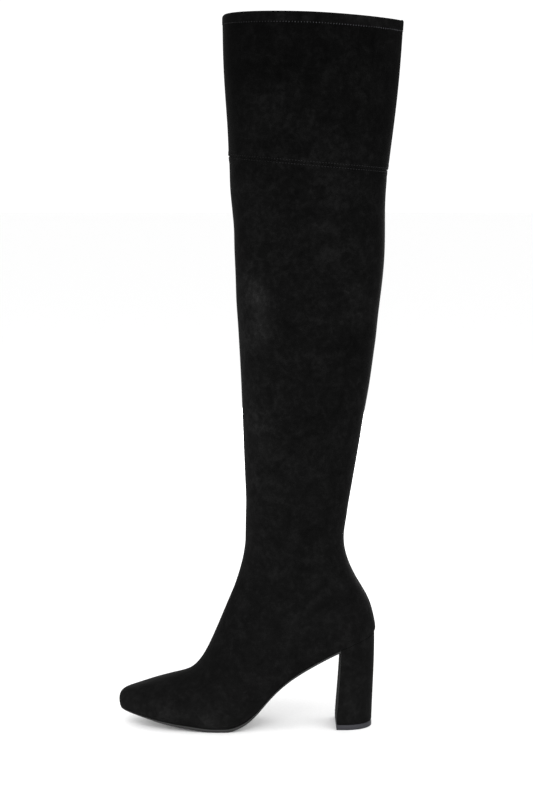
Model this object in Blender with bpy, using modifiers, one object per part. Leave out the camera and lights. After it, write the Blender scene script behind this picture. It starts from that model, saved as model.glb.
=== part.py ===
# A left over-the-knee boot in black suede on a block heel.
# The toe points along -X, the outer side of the foot faces -Y and the floor is Z = 0.
# The tables hold percentages of the driving sizes. Functions work in millimetres, measured from
# the toe tip (along), from the boot's centre plane (positive on the inner side) and from the floor.

import bmesh
import bpy
import numpy as np

# Units: metres in a millimetre, and a hundredth
MM = 0.001
PERCENT = 0.01

# Driving sizes, in millimetres
FOOT_LENGTH = 238.0
BALL_WIDTH = 78.0
INSTEP_HEIGHT = 114.0
HEEL_HEIGHT = 89.0
COLLAR_HEIGHT = 653.0

# Thicknesses and clearances, in millimetres
WALL = 1.5
GAP = 0.3
INSOLE_THICKNESS = 2.0
INSOLE_LIFT = 0.6
TOP_PIECE_THICKNESS = 4.8

# Places along the foot and edges of the pieces, in millimetres
TOE_TIP = 1.0
TOE_ROUND = 40.0
TOE_POWER = 1.9
HEEL_ROUND = 27.0
HEEL_POWER = 2.1
LASTING_MARGIN = 9.0
COLLAR_BOW = 1.7
INSOLE_INSET = 2.8
SOLE_INSET = 0.3

# The heel block narrows from the seat to the floor, in millimetres
BREAST_AT_SEAT = 206.4
BREAST_AT_FLOOR = 202.3
HEEL_BACK_INSET = 0.1
HEEL_BACK_AT_FLOOR = 235.6
HEEL_HALF_AT_FLOOR = 23.6

# Thickness of the sole: along from the toe tip and thickness, in millimetres
SOLE_THICKNESS = ((8.0, 0.8), (68.0, 3.2), (100.0, 3.2), (150.0, 2.2))

# Points on one side of a girth cut, stations along a sole and how they crowd at the toe
SIDE_POINTS = 15
SOLE_STATIONS = 44
HEEL_STATIONS = 12
TOE_CROWDING = 1.5

# Points closer than this are one, in metres, and edges sharper than this stay crisp, in radians
WELD = 0.000002
SHARP_ANGLE = 0.7

# The sole: along (% of foot length), underside (% of heel height),
# swing of its centre line to the inner side and half width (% of ball width)
SOLE = (
    (0.4, 16.4, 8.3, 33.3),
    (8.4, 12.9, 7.6, 35.9),
    (16.8, 8.0, 6.4, 40.4),
    (25.2, 3.8, 5.2, 44.2),
    (31.9, 1.2, 4.3, 45.6),
    (38.7, -0.4, 3.4, 45.6),
    (44.5, 1.1, 1.8, 43.8),
    (48.7, 5.6, 0.2, 40.4),
    (53.4, 15.3, -1.0, 36.9),
    (58.0, 29.2, -1.5, 34.4),
    (62.6, 42.0, -1.7, 32.6),
    (67.2, 52.0, -1.5, 31.5),
    (76.5, 67.6, -0.5, 31.5),
    (85.7, 80.6, 0.0, 32.3),
    (92.9, 89.1, 0.0, 32.8),
    (100.0, 97.2, 0.0, 33.1),
)

# Girth cuts of the foot, from the front line down to the sole's edge: steps to the next cut,
# front along and end along (% of foot length), front height (% of instep height), outer and
# inner half width and shift of the ridge to the inner side (% of ball width), where along the
# cut it is widest, roundness at the front and at the end
FOOT_CUTS = (
    ("toe point", 2, 0.4, 0.4, 13.8, 34.6, 34.6, 0.0, 0.60, 2.0, 2.3),
    ("toe wall", 2, 0.0, 1.5, 21.6, 35.3, 35.3, 0.0, 0.60, 2.0, 2.3),
    ("toe cap", 2, 1.9, 3.9, 28.0, 35.9, 35.9, 0.3, 0.60, 2.1, 2.3),
    ("toe box", 2, 7.6, 8.8, 32.2, 38.5, 37.8, 0.8, 0.64, 2.2, 2.3),
    ("toes", 2, 15.1, 15.5, 37.1, 42.9, 42.3, 1.6, 0.68, 2.1, 2.3),
    ("vamp", 2, 22.3, 23.1, 41.3, 46.8, 46.2, 2.6, 0.72, 2.0, 2.3),
    ("ball", 2, 27.7, 31.1, 45.0, 49.4, 48.7, 3.4, 0.74, 1.9, 2.3),
    ("vamp bend", 2, 31.3, 39.1, 51.6, 50.4, 49.6, 4.0, 0.74, 1.9, 2.3),
    ("waist", 3, 34.5, 47.1, 62.3, 49.4, 48.1, 4.4, 0.72, 1.9, 2.3),
    ("arch", 3, 38.2, 56.3, 79.2, 46.8, 44.2, 4.4, 0.68, 1.9, 2.3),
    ("instep", 3, 42.2, 67.2, 99.2, 44.9, 42.3, 4.0, 0.62, 1.9, 2.3),
    ("high instep", 3, 46.0, 78.6, 119.0, 43.6, 41.7, 3.2, 0.56, 1.9, 2.3),
    ("long heel", 3, 48.4, 89.1, 136.0, 42.9, 41.7, 2.2, 0.50, 1.9, 2.3),
    ("heel turn", 4, 49.4, 96.2, 147.8, 42.3, 41.7, 1.2, 0.46, 2.0, 2.3),
    ("heel seat", 2, 49.7, 100.0, 157.0, 41.9, 41.7, 0.5, 0.44, 2.0, 2.3),
)

# Girth cuts of the leg, closed at front and back: steps to the next cut, front along and back
# along (% of foot length), front and back height (% of collar height), half width (% of ball
# width), where the cut is widest, roundness at the front and at the back
LEG_CUTS = (
    ("heel", 2, 49.9, 99.9, 29.1, 15.3, 42.1, 0.44, 2.1, 2.3),
    ("heel top", 2, 50.0, 97.3, 30.6, 18.4, 42.3, 0.44, 2.1, 2.3),
    ("tendon", 2, 50.0, 92.0, 32.2, 21.8, 42.9, 0.45, 2.1, 2.3),
    ("ankle", 2, 49.8, 87.9, 34.0, 26.4, 43.6, 0.46, 2.1, 2.2),
    ("low leg", 2, 49.4, 89.6, 37.2, 32.2, 45.5, 0.47, 2.1, 2.1),
    ("shin", 2, 48.7, 93.7, 43.6, 40.9, 49.4, 0.48, 2.1, 2.1),
    ("low calf", 2, 47.9, 97.8, 50.8, 50.1, 53.2, 0.50, 2.1, 2.1),
    ("calf", 2, 46.8, 100.6, 58.2, 58.7, 56.4, 0.50, 2.1, 2.1),
    ("high calf", 2, 45.9, 102.8, 65.1, 66.5, 58.3, 0.50, 2.1, 2.1),
    ("under knee", 2, 44.8, 103.0, 72.7, 73.4, 59.6, 0.49, 2.1, 2.0),
    ("knee seam", 2, 43.6, 104.0, 80.6, 78.7, 61.5, 0.48, 2.1, 1.9),
    ("knee", 2, 42.8, 105.9, 85.8, 84.1, 62.8, 0.47, 2.1, 1.8),
    ("thigh", 2, 41.6, 108.1, 92.6, 91.3, 64.7, 0.46, 2.1, 1.6),
    ("collar", 0, 41.2, 109.6, 100.0, 99.1, 66.0, 0.46, 2.1, 1.5),
)

HEEL_CUT = len(FOOT_CUTS) - 1
SEAM_CUT = len(FOOT_CUTS) + [row[0] for row in LEG_CUTS].index("knee seam")
COLLAR_CUT = len(FOOT_CUTS) + len(LEG_CUTS) - 1


def natural_cubic(knots, values, at):
    # Smooth curve through the rows of a table, with no bend at its two ends
    gaps = np.diff(knots)
    slopes = np.diff(values, axis=0) / gaps[:, None]
    system = np.eye(len(knots))
    change = np.zeros_like(values)
    for row in range(1, len(knots) - 1):
        system[row, row - 1:row + 2] = gaps[row - 1], 2 * (gaps[row - 1] + gaps[row]), gaps[row]
        change[row] = 6 * (slopes[row] - slopes[row - 1])
    bend = np.linalg.solve(system, change)
    low = np.clip(np.searchsorted(knots, at, side="right") - 1, 0, len(knots) - 2)
    gap = gaps[low][:, None]
    before = (knots[low + 1] - at)[:, None] / gap
    after = 1 - before
    straight = before * values[low] + after * values[low + 1]
    bow = (before ** 3 - before) * bend[low] + (after ** 3 - after) * bend[low + 1]
    return straight + bow * gap ** 2 / 6


def rounding(distance, length, power):
    # Share of the full width left at a distance from a round end of the given length
    left = 1 - np.clip(distance / length, 0, 1)
    return np.clip(1 - left ** power, 0, 1) ** (1 / power)


def sole_lines(along):
    # Underside, swing and half width of the sole before its ends are rounded.
    # The tread is flat where it meets the floor.
    table = np.array(SOLE) * PERCENT * (FOOT_LENGTH, HEEL_HEIGHT, BALL_WIDTH, BALL_WIDTH)
    underside, swing, half = natural_cubic(table[:, 0], table[:, 1:], along).T
    return np.maximum(underside, 0), swing, half


def toe_rounding(along):
    return rounding(along - TOE_TIP, TOE_ROUND, TOE_POWER)


def heel_rounding(along):
    return rounding(FOOT_LENGTH - along, HEEL_ROUND, HEEL_POWER)


def sole_top(along):
    # The sole is thick under the ball, and thinner at the toe and from the waist to the heel breast
    places, thicknesses = np.transpose(SOLE_THICKNESS)
    return sole_lines(along)[0] + np.interp(along, places, thicknesses)


def upright(along):
    # Upright height of a layer one millimetre thick that lies on the sloping sole
    slope = (sole_top(along + 1) - sole_top(along - 1)) / 2
    return np.sqrt(1 + slope ** 2)


def inset_outline(along, inset):
    # The sole's outline drawn in by the inset: new place along, swing and half width
    share = (along - TOE_TIP) / (FOOT_LENGTH - TOE_TIP)
    inner = TOE_TIP + inset + share * (FOOT_LENGTH - TOE_TIP - 2 * inset)
    half = (sole_lines(along)[2] - inset) * toe_rounding(along) * heel_rounding(along)
    return inner, sole_lines(inner)[1], half


def cut_table():
    # Both tables of girth cuts in millimetres, one row for each cut
    columns = []
    for _, _, front, end, height, outer, inner, ridge, widest, crown, tuck in FOOT_CUTS:
        end_along = np.array([end * PERCENT * FOOT_LENGTH])
        end_height = sole_top(end_along)[0] + GAP
        columns.append((front * PERCENT * FOOT_LENGTH, height * PERCENT * INSTEP_HEIGHT,
                        end_along[0], end_height, outer * PERCENT * BALL_WIDTH,
                        inner * PERCENT * BALL_WIDTH, ridge * PERCENT * BALL_WIDTH,
                        widest, crown, tuck))
    for _, _, front, back, height, low, half, widest, crown, tuck in LEG_CUTS:
        columns.append((front * PERCENT * FOOT_LENGTH, height * PERCENT * COLLAR_HEIGHT,
                        back * PERCENT * FOOT_LENGTH, low * PERCENT * COLLAR_HEIGHT,
                        half * PERCENT * BALL_WIDTH, half * PERCENT * BALL_WIDTH, 0.0,
                        widest, crown, tuck))
    return np.array(columns)


def cut_numbers(first, last):
    # Fractional row numbers from one cut to another, with each cut's own count of steps
    steps = [row[1] for row in FOOT_CUTS + LEG_CUTS]
    numbers = [cut + step / steps[cut] for cut in range(first, last) for step in range(steps[cut])]
    return np.array(numbers + [last])


def girth_cuts(numbers):
    # Points of each girth cut, from the outer end over the front line to the inner end. A side
    # is two superellipse quarters, from the front line to the widest place and on to the back.
    # In the foot the sole cuts the second one off, where it is as wide as the sole's edge.
    table = cut_table()
    rows = natural_cubic(np.arange(len(table), dtype=float), table, numbers)
    front, front_height, end, end_height, outer, inner, ridge, widest, crown, tuck = rows.T
    on_sole = numbers <= HEEL_CUT
    end = np.where(on_sole, np.clip(end, TOE_TIP, FOOT_LENGTH), end)
    end_height = np.where(on_sole, sole_top(end) + GAP, end_height)
    swing = np.where(on_sole, sole_lines(end)[1], 0)
    edge = np.where(on_sole, sole_lines(end)[2] * heel_rounding(end), 0)
    toe = np.where(on_sole, toe_rounding(end), 1)
    bow = COLLAR_BOW * np.clip((numbers - SEAM_CUT) / (COLLAR_CUT - SEAM_CUT), 0, 1)
    share = (1 - np.cos(np.pi * np.arange(SIDE_POINTS + 1) / SIDE_POINTS)) / 2
    rise = rounding(share, widest[:, None], crown[:, None])
    past = np.clip((share - widest[:, None]) / (1 - widest[:, None]), 0, 1)
    sides = []
    for half, sign in ((outer, -1), (inner, 1)):
        reach = rounding(1 - np.clip(edge / half, 0, 1), 1, tuck)[:, None]
        fall = rounding(1 - reach * past, 1, tuck[:, None])
        width = (half * toe)[:, None] * np.where(past > 0, fall, rise)
        across = swing[:, None] + ridge[:, None] * (1 - share) ** 2 + sign * width
        along = front[:, None] + (end - front)[:, None] * share
        height = front_height[:, None] + (end_height - front_height)[:, None] * share
        height = height + bow[:, None] * 4 * share * (1 - share)
        sides.append(np.stack((along, across, height), axis=2))
    return np.concatenate((sides[0][:, :0:-1], sides[1]), axis=1)


def lasting_strip(foot):
    # The upper's edge turned under the foot: its feather line and the line of the opening
    feather = np.concatenate((foot[::-1, 0], foot[1:, -1]))
    inner, swing, half = inset_outline(feather[:, 0], LASTING_MARGIN)
    outer_side = np.arange(len(feather)) < len(foot)
    across = swing + np.where(outer_side, -half, half)
    opening = np.stack((inner, across, sole_top(inner) + GAP), axis=1)
    return np.stack((feather, opening))


def grid_mesh(name, grids, ends=()):
    # One welded mesh of rows of points, with flat faces over the end rows that are named
    shape = bmesh.new()
    for grid in grids:
        rows = [[shape.verts.new(point * MM) for point in row] for row in grid]
        for low, high in zip(rows, rows[1:]):
            for corner in range(len(low) - 1):
                shape.faces.new((low[corner], low[corner + 1], high[corner + 1], high[corner]))
        for end in ends:
            shape.faces.new(rows[end][:-1])
    bmesh.ops.remove_doubles(shape, verts=shape.verts, dist=WELD)
    bmesh.ops.dissolve_degenerate(shape, edges=shape.edges, dist=WELD)
    bmesh.ops.recalc_face_normals(shape, faces=shape.faces)
    mesh = bpy.data.meshes.new(name)
    shape.to_mesh(mesh)
    shape.free()
    mesh.shade_smooth()
    mesh.set_sharp_from_angle(angle=SHARP_ANGLE)
    return mesh


def slab(low_along, low_height, high_along, high_height, swing, low_half, high_half):
    # Four-cornered rings from one end of a sole-like piece to the other, closed on themselves
    corners = ((low_along, swing - low_half, low_height), (low_along, swing + low_half, low_height),
               (high_along, swing + high_half, high_height),
               (high_along, swing - high_half, high_height))
    ring = [np.stack(np.broadcast_arrays(*corner), axis=1) for corner in corners]
    return np.stack(ring + ring[:1], axis=1)


def end_spaced(first, last, count, both):
    # Places from one end to another that crowd where an outline is round
    turn = np.linspace(0, np.pi if both else np.pi / 2, count)
    share = (1 - np.cos(turn)) / 2 if both else np.sin(turn)
    return first + (last - first) * share


def outsole_rings():
    share = np.linspace(0, 1, SOLE_STATIONS) ** TOE_CROWDING
    along = TOE_TIP + share * (BREAST_AT_SEAT - GAP - TOE_TIP)
    underside, swing, half = sole_lines(along)
    half = (half - SOLE_INSET) * toe_rounding(along)
    return slab(along, underside, along, sole_top(along), swing, half, half)


def insole_rings():
    along = end_spaced(TOE_TIP, FOOT_LENGTH, SOLE_STATIONS, both=True)
    inner, swing, half = inset_outline(along, INSOLE_INSET)
    low = sole_top(inner) + GAP + (WALL + INSOLE_LIFT) * upright(inner)
    high = low + INSOLE_THICKNESS * upright(inner)
    return slab(inner, low, inner, high, swing, half, half)


def heel_outline(share):
    # Half width of the heel at the seat, from its breast (0) to its back (1)
    back = FOOT_LENGTH - HEEL_BACK_INSET
    along = BREAST_AT_SEAT + share * (back - BREAST_AT_SEAT)
    half = sole_lines(along)[2] - HEEL_BACK_INSET
    return along, half * rounding(back - along, HEEL_ROUND, HEEL_POWER)


def heel_rings():
    share = end_spaced(0, 1, HEEL_STATIONS, both=False)
    along, half = heel_outline(share)
    floor_along = BREAST_AT_FLOOR + share * (HEEL_BACK_AT_FLOOR - BREAST_AT_FLOOR)
    floor_half = half * HEEL_HALF_AT_FLOOR / half[0]
    return slab(floor_along, TOP_PIECE_THICKNESS + GAP, along, sole_top(along), 0.0,
                floor_half, half)


def top_piece_rings():
    share = end_spaced(0, 1, HEEL_STATIONS, both=False)
    half = heel_outline(share)[1]
    half = half * HEEL_HALF_AT_FLOOR / half[0]
    along = BREAST_AT_FLOOR + share * (HEEL_BACK_AT_FLOOR - BREAST_AT_FLOOR)
    return slab(along, 0.0, along, TOP_PIECE_THICKNESS, 0.0, half, half)


def finish(name, look):
    # A dull non-metal finish in one colour
    colour, roughness = look
    material = bpy.data.materials.new(name)
    material.use_nodes = True
    shader = material.node_tree.nodes["Principled BSDF"]
    shader.inputs["Base Color"].default_value = colour + (1.0,)
    shader.inputs["Roughness"].default_value = roughness
    shader.inputs["Metallic"].default_value = 0.0
    return material


def add_piece(name, mesh, material, collection, parent, wall=0.0):
    piece = bpy.data.objects.new(name, mesh)
    mesh.materials.append(material)
    collection.objects.link(piece)
    piece.parent = parent
    if wall:
        shell = piece.modifiers.new("wall", "SOLIDIFY")
        shell.thickness = wall * MM
        shell.offset = -1.0
        shell.use_even_offset = True
    return piece


for old in list(bpy.data.objects):
    bpy.data.objects.remove(old)

boot = bpy.data.collections.new("heeled_boot")
bpy.context.scene.collection.children.link(boot)
frame = bpy.data.objects.new("boot_frame", None)
boot.objects.link(frame)

upper_cuts = girth_cuts(cut_numbers(0, SEAM_CUT))
thigh_cuts = girth_cuts(cut_numbers(SEAM_CUT, COLLAR_CUT))
thigh_cuts[0, :, 2] += GAP
foot_rows = len(cut_numbers(0, HEEL_CUT))
upper_grids = (upper_cuts, lasting_strip(upper_cuts[:foot_rows]))

# The frame's origin is under the middle of the boot's length
frame.location.x = -thigh_cuts[..., 0].max() / 2 * MM

# Colour and roughness of each finish
suede = ((0.012, 0.012, 0.012), 0.95)
rubber = ((0.06, 0.06, 0.062), 0.7)
sole_edge = ((0.05, 0.05, 0.05), 0.6)
sock = ((0.02, 0.02, 0.02), 0.8)

add_piece("upper", grid_mesh("upper", upper_grids), finish("suede", suede), boot, frame, WALL)
add_piece("thigh_panel", grid_mesh("thigh_panel", (thigh_cuts,)), finish("thigh suede", suede),
          boot, frame, WALL)
add_piece("outsole", grid_mesh("outsole", (outsole_rings(),), ends=(0, -1)),
          finish("sole edge", sole_edge), boot, frame)
add_piece("insole", grid_mesh("insole", (insole_rings(),)), finish("sock lining", sock),
          boot, frame)
add_piece("heel", grid_mesh("heel", (heel_rings(),), ends=(0,)), finish("heel suede", suede),
          boot, frame)
add_piece("top_piece", grid_mesh("top_piece", (top_piece_rings(),), ends=(0,)),
          finish("rubber", rubber), boot, frame)
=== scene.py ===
import math

import bpy
import numpy as np
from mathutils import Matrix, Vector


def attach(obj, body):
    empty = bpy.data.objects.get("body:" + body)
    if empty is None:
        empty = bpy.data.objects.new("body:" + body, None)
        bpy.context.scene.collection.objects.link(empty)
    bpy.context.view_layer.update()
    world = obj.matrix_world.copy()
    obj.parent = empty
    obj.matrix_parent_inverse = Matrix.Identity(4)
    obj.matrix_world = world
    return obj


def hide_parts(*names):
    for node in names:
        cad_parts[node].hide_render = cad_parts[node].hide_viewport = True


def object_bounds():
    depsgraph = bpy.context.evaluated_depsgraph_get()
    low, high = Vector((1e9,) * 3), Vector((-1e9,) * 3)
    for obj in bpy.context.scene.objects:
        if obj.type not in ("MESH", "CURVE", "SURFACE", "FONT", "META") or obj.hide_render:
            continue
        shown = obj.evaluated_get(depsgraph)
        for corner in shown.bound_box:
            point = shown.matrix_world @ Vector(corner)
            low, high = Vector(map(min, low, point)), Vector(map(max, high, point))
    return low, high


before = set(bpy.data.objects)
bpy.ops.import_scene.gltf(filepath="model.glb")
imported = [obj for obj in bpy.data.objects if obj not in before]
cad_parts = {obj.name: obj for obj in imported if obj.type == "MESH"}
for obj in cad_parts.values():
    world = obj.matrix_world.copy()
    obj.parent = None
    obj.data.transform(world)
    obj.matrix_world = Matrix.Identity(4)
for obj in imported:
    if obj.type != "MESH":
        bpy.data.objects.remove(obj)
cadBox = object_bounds()
print("frame loaded:", ", ".join(sorted(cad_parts)))

# A left over-the-knee boot in black suede on a covered block heel. Shapes are worked out in millimetres:
# along from the toe tip, across from the centre plane (inner side positive) and height from the floor.
mm = 0.001
percent = 0.01

# Sizes of the last, as the frame has them; the sole's thickness goes by place along
last = {
    "footLength": 238.0, "ballWidth": 78.0, "instepHeight": 114.0, "heelHeight": 89.0, "collarHeight": 653.0,
    "gap": 0.3, "soleThickness": ((8.0, 0.8), (68.0, 3.2), (100.0, 3.2), (150.0, 2.2)),
    "toeTip": 1.0, "toeRound": 40.0, "toePower": 1.9, "heelRound": 27.0, "heelPower": 2.1, "collarBow": 1.7,
}
frameOrigin = np.array(((cadBox[1][0] - cadBox[0][0]) / 2 / mm, 0.0, 0.0))  # middle of the boot's length

# Sole: along (% length), underside (% heel height), swing to the inner side and half width (% ball width)
soleCuts = (
    (0.4, 16.4, 8.3, 33.3), (8.4, 12.9, 7.6, 35.9), (16.8, 8.0, 6.4, 40.4), (25.2, 3.8, 5.2, 44.2),
    (31.9, 1.2, 4.3, 45.6), (38.7, -0.4, 3.4, 45.6), (44.5, 1.1, 1.8, 43.8), (48.7, 5.6, 0.2, 40.4),
    (53.4, 15.3, -1.0, 36.9), (58.0, 29.2, -1.5, 34.4), (62.6, 42.0, -1.7, 32.6), (67.2, 52.0, -1.5, 31.5),
    (76.5, 67.6, -0.5, 31.5), (85.7, 80.6, 0.0, 32.3), (92.9, 89.1, 0.0, 32.8), (100.0, 97.2, 0.0, 33.1),
)

# Foot girths: front and sole end along (% length), front height (% instep), outer and inner half width and
# ridge (% ball width), share of the girth above the widest place, powers of the upper and lower quarter
footCuts = (
    (0.4, 0.4, 13.8, 34.6, 34.6, 0.0, 0.60, 2.0, 2.3),    # toe point
    (0.0, 1.5, 21.6, 35.3, 35.3, 0.0, 0.60, 2.0, 2.3),    # toe wall
    (1.9, 3.9, 28.0, 35.9, 35.9, 0.3, 0.60, 2.1, 2.3),    # toe cap
    (7.6, 8.8, 32.2, 38.5, 37.8, 0.8, 0.64, 2.2, 2.3),    # toe box
    (15.1, 15.5, 37.1, 42.9, 42.3, 1.6, 0.68, 2.1, 2.3),  # toes
    (22.3, 23.1, 41.3, 46.8, 46.2, 2.6, 0.72, 2.0, 2.3),  # vamp
    (27.7, 31.1, 45.0, 49.4, 48.7, 3.4, 0.74, 1.9, 2.3),  # ball
    (31.3, 39.1, 51.6, 50.4, 49.6, 4.0, 0.74, 1.9, 2.3),  # vamp bend
    (34.5, 47.1, 62.3, 49.4, 48.1, 4.4, 0.72, 1.9, 2.3),  # waist
    (38.2, 56.3, 79.2, 46.8, 44.2, 4.4, 0.68, 1.9, 2.3),  # arch
    (42.2, 67.2, 99.2, 44.9, 42.3, 4.0, 0.62, 1.9, 2.3),  # instep
    (46.0, 78.6, 119.0, 43.6, 41.7, 3.2, 0.56, 1.9, 2.3),  # high instep
    (48.4, 89.1, 136.0, 42.9, 41.7, 2.2, 0.50, 1.9, 2.3),  # long heel
    (49.4, 96.2, 147.8, 42.3, 41.7, 1.2, 0.46, 2.0, 2.3),  # heel turn
    (49.7, 100.0, 157.0, 41.9, 41.7, 0.5, 0.44, 2.0, 2.3),  # heel seat
)

# Leg girths: front and back along (% length), front and back height (% collar height), half width (% ball
# width), share of the girth before the widest place, powers of the front and back quarter
legCuts = (
    (49.9, 99.9, 29.1, 15.3, 42.1, 0.44, 2.1, 2.3),   # heel
    (50.0, 97.3, 30.6, 18.4, 42.3, 0.44, 2.1, 2.3),   # heel top
    (50.0, 92.0, 32.2, 21.8, 42.9, 0.45, 2.1, 2.3),   # tendon
    (49.8, 87.9, 34.0, 26.4, 43.6, 0.46, 2.1, 2.2),   # ankle
    (49.4, 89.6, 37.2, 32.2, 45.5, 0.47, 2.1, 2.1),   # low leg
    (48.7, 93.7, 43.6, 40.9, 49.4, 0.48, 2.1, 2.1),   # shin
    (47.9, 97.8, 50.8, 50.1, 53.2, 0.50, 2.1, 2.1),   # low calf
    (46.8, 100.6, 58.2, 58.7, 56.4, 0.50, 2.1, 2.1),  # calf
    (45.9, 102.8, 65.1, 66.5, 58.3, 0.50, 2.1, 2.1),  # high calf
    (44.8, 103.0, 72.7, 73.4, 59.6, 0.49, 2.1, 2.0),  # under knee
    (43.6, 104.0, 80.6, 78.7, 61.5, 0.48, 2.1, 1.9),  # knee seam
    (42.8, 105.9, 85.8, 84.1, 62.8, 0.47, 2.1, 1.8),  # knee
    (41.6, 108.1, 92.6, 91.3, 64.7, 0.46, 2.1, 1.6),  # thigh
    (41.2, 109.6, 100.0, 99.1, 66.0, 0.46, 2.1, 1.5),  # collar
)
heelCut = len(footCuts) - 1
seamCut = len(footCuts) + 10  # the leg's knee seam
collarCut = len(footCuts) + len(legCuts) - 1


def smoothThrough(knots, values, at):
    # natural cubic: a smooth curve through the rows of a table with no bend at its ends
    gaps = np.diff(knots)
    slopes = np.diff(values, axis=0) / gaps[:, None]
    system = np.eye(len(knots))
    change = np.zeros_like(values)
    inside = np.arange(1, len(knots) - 1)
    system[inside, inside - 1] = gaps[:-1]
    system[inside, inside] = 2 * (gaps[:-1] + gaps[1:])
    system[inside, inside + 1] = gaps[1:]
    change[inside] = 6 * np.diff(slopes, axis=0)
    bend = np.linalg.solve(system, change)
    low = np.clip(np.searchsorted(knots, at, side="right") - 1, 0, len(knots) - 2)
    gap = gaps[low][:, None]
    before = (knots[low + 1] - at)[:, None] / gap
    after = 1 - before
    straight = before * values[low] + after * values[low + 1]
    return straight + ((before**3 - before) * bend[low] + (after**3 - after) * bend[low + 1]) * gap**2 / 6


def roundOff(distance, length, power):
    # superellipse quarter: share of the full width left at a distance from a round end of that length
    left = 1 - np.clip(distance / length, 0, 1)
    return np.clip(1 - left**power, 0, 1) ** (1 / power)


def soleLines(along):
    # underside, swing and half width of the sole, read off its table; the tread is flat on the floor
    table = np.array(soleCuts) * percent * (
        last["footLength"], last["heelHeight"], last["ballWidth"], last["ballWidth"])
    flat = np.ravel(along)
    underside, swing, half = smoothThrough(table[:, 0], table[:, 1:], flat).T
    return [line.reshape(np.shape(along)) for line in (np.maximum(underside, 0), swing, half)]


def toeRounding(along):
    # share of the sole's width that is left near the toe
    return roundOff(along - last["toeTip"], last["toeRound"], last["toePower"])


def heelRounding(along):
    # share of the sole's width that is left near the back of the heel
    return roundOff(last["footLength"] - along, last["heelRound"], last["heelPower"])


def soleTop(along):
    # underside plus the sole's thickness, which is greatest under the ball
    places, thicknesses = np.transpose(last["soleThickness"])
    return soleLines(along)[0] + np.interp(along, places, thicknesses)


def soleStretch(along):
    # upright height of a layer one millimetre thick on the slope: root of one plus slope squared
    return np.sqrt(1 + ((soleTop(along + 1) - soleTop(along - 1)) / 2) ** 2)


def insetOutline(along, inset):
    # the sole's outline drawn in by the inset all round: place along, swing and half width
    share = (along - last["toeTip"]) / (last["footLength"] - last["toeTip"])
    inner = last["toeTip"] + inset + share * (last["footLength"] - last["toeTip"] - 2 * inset)
    half = (soleLines(along)[2] - inset) * toeRounding(along) * heelRounding(along)
    return inner, soleLines(inner)[1], half


# One table for the whole last, in mm: front along and height, end along and height, outer, inner and ridge,
# then the share and the powers as they are
length, ball, collar = last["footLength"], last["ballWidth"], last["collarHeight"]
foot = np.array(footCuts)
foot[:, :6] *= percent
foot[:, :6] *= (length, length, last["instepHeight"], ball, ball, ball)
leg = np.array(legCuts)
leg[:, :5] *= percent
leg[:, :5] *= (length, length, collar, collar, ball)
noRidge = np.zeros(len(leg))
cutTable = np.concatenate((
    np.stack((foot[:, 0], foot[:, 2], foot[:, 1], soleTop(foot[:, 1]) + last["gap"], *foot.T[3:]), axis=1),
    np.stack((leg[:, 0], leg[:, 2], leg[:, 1], *leg.T[3:5], leg[:, 4], noRidge, *leg.T[5:]), axis=1)))
guideTurns = np.array((-math.pi, -2.4, -1.5, -0.8, 0.0))  # rows are spaced along these
fineCuts = 3000
cutNudge = 0.01


def lastSurface(cuts, turns):
    # Point of the last at a girth cut and a turn round it: 0 is the front line, minus pi the outer end and pi
    # the inner end. Share of the girth = (1 - cos turn) / 2; the side is two superellipse quarters that meet
    # where the girth is widest, and in the foot the sole cuts the second one off where it is as wide as the
    # sole. The collar bows up by a parabola between its ends.
    cuts, turns = np.broadcast_arrays(cuts, turns)
    cut = cuts.ravel().astype(float)
    outerSide = turns.ravel() < 0
    share = (1 - np.cos(turns.ravel())) / 2
    rows = smoothThrough(np.arange(len(cutTable), dtype=float), cutTable, cut)
    front, frontHeight, end, endHeight, outer, inner, ridge, widest, crown, tuck = rows.T
    onSole = cut <= heelCut
    end = np.where(onSole, np.clip(end, last["toeTip"], last["footLength"]), end)
    onFoot = np.minimum(end, last["footLength"])
    swing, edge = soleLines(onFoot)[1:]
    endHeight = np.where(onSole, soleTop(onFoot) + last["gap"], endHeight)
    swing = np.where(onSole, swing, 0)
    edge = np.where(onSole, edge * heelRounding(onFoot), 0)
    toe = np.where(onSole, toeRounding(onFoot), 1)
    half = np.where(outerSide, outer, inner)
    reach = roundOff(1 - np.clip(edge / half, 0, 1), 1, tuck)
    past = np.clip((share - widest) / (1 - widest), 0, 1)
    lower = roundOff(1 - reach * past, 1, tuck)
    width = half * toe * np.where(past > 0, lower, roundOff(share, widest, crown))
    bow = last["collarBow"] * np.clip((cut - seamCut) / (collarCut - seamCut), 0, 1)
    along = front + (end - front) * share
    across = swing + ridge * (1 - share) ** 2 + np.where(outerSide, -width, width)
    height = frontHeight + (endHeight - frontHeight) * share + bow * 4 * share * (1 - share)
    return np.stack((along, across, height), axis=1).reshape(cuts.shape + (3,))


def evenCuts(first, final, step):
    # cut numbers whose rows lie the step apart where the girths fan out most
    fine = np.linspace(first, final, fineCuts)
    lines = lastSurface(fine[:, None], guideTurns)
    reach = np.concatenate(([0], np.cumsum(np.linalg.norm(np.diff(lines, axis=0), axis=2).max(axis=1))))
    return np.interp(np.linspace(0, reach[-1], int(reach[-1] / step) + 2), reach, fine)


def millimetresPerCut(cut, turns):
    # how far the surface runs up the leg for one whole cut, at each turn
    low, high = lastSurface(np.array((cut - cutNudge, cut + cutNudge))[:, None], turns)
    return np.linalg.norm(high - low, axis=1) / (2 * cutNudge)


def sheetIndex(rows, columns, footRows):
    # point numbers of a last-shaped sheet: leg rows close at the back, the first foot row closes at the toe
    index = np.arange(rows * columns).reshape(rows, columns)
    index[footRows - 1:, -1] = index[footRows - 1:, 0]
    if footRows > 1:
        index[0, columns // 2 + 1:] = index[0, :columns // 2][::-1]
    return index


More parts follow.
